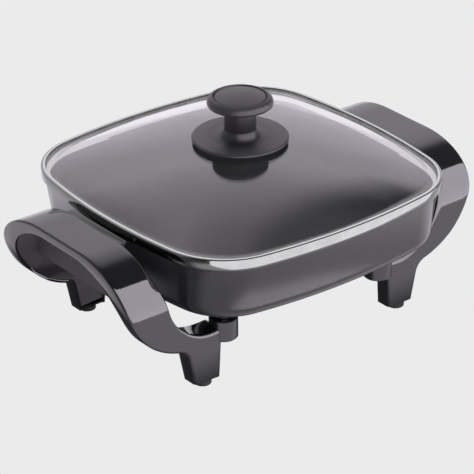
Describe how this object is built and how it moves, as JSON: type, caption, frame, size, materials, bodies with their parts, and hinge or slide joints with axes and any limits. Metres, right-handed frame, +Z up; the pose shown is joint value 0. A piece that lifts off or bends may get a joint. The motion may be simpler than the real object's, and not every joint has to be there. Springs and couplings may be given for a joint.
{
  "type": "electric skillet",
  "caption": "Square electric skillet with a lift-off domed glass lid, a round knob, and two arched handles whose ends sweep down into legs.",
  "frame": {"origin": "middle of the footprint, on the surface that the feet stand on", "axes": "+X from handle to handle, +Z up, -Y towards the front; the control inlet is at the rear, +Y"},
  "size_m": [0.4032, 0.31, 0.2159],
  "materials": {
    "glass": "clear tempered glass",
    "band_steel": "polished rolled steel",
    "seal_rubber": "matt",
    "knob_plastic": "satin gloss, dark grey",
    "knob_cap_plastic": "satin gloss, dark grey",
    "brass": "plain",
    "screw_steel": "zinc plated",
    "pan_paint": "dark metallic enamel outside, non-stick inside",
    "heater_sheath": "dull sheathed tube",
    "contact_metal": "plated",
    "ceramic": "glazed ceramic",
    "handle_plastic": "high gloss, dark metallic grey",
    "liner_plastic": "satin, dark grey",
    "foot_rubber": "matt"
  },
  "bodies": {
    "skillet": {"pan": "pan_paint", "heating_element": "heater_sheath", "inlet_pin_left": "contact_metal", "inlet_pin_right": "contact_metal", "insulator_left": "ceramic", "insulator_right": "ceramic", "probe_sleeve": "screw_steel", "inlet_guard": "liner_plastic", "guard_screws": "screw_steel", "handle_left": "handle_plastic", "handle_right": "handle_plastic", "liner_left": "liner_plastic", "liner_right": "liner_plastic", "handle_screws": "screw_steel", "handle_washers": "screw_steel", "foot_front_left": "foot_rubber", "foot_front_right": "foot_rubber", "foot_rear_left": "foot_rubber", "foot_rear_right": "foot_rubber"},
    "lid": {"lid_glass": "glass", "lid_rim": "band_steel", "rim_seal": "seal_rubber", "knob_head": "knob_plastic", "knob_cap": "knob_cap_plastic", "knob_skirt": "knob_plastic", "knob_insert": "brass", "knob_gasket": "seal_rubber", "knob_under_gasket": "seal_rubber", "knob_washer": "screw_steel", "knob_screw": "screw_steel"}
  },
  "joints": [
    {"name": "lid_lift", "type": "slide", "parent": "skillet", "child": "lid", "axis": [0, 0, 1], "range_m": [0, 0.12]}
  ]
}
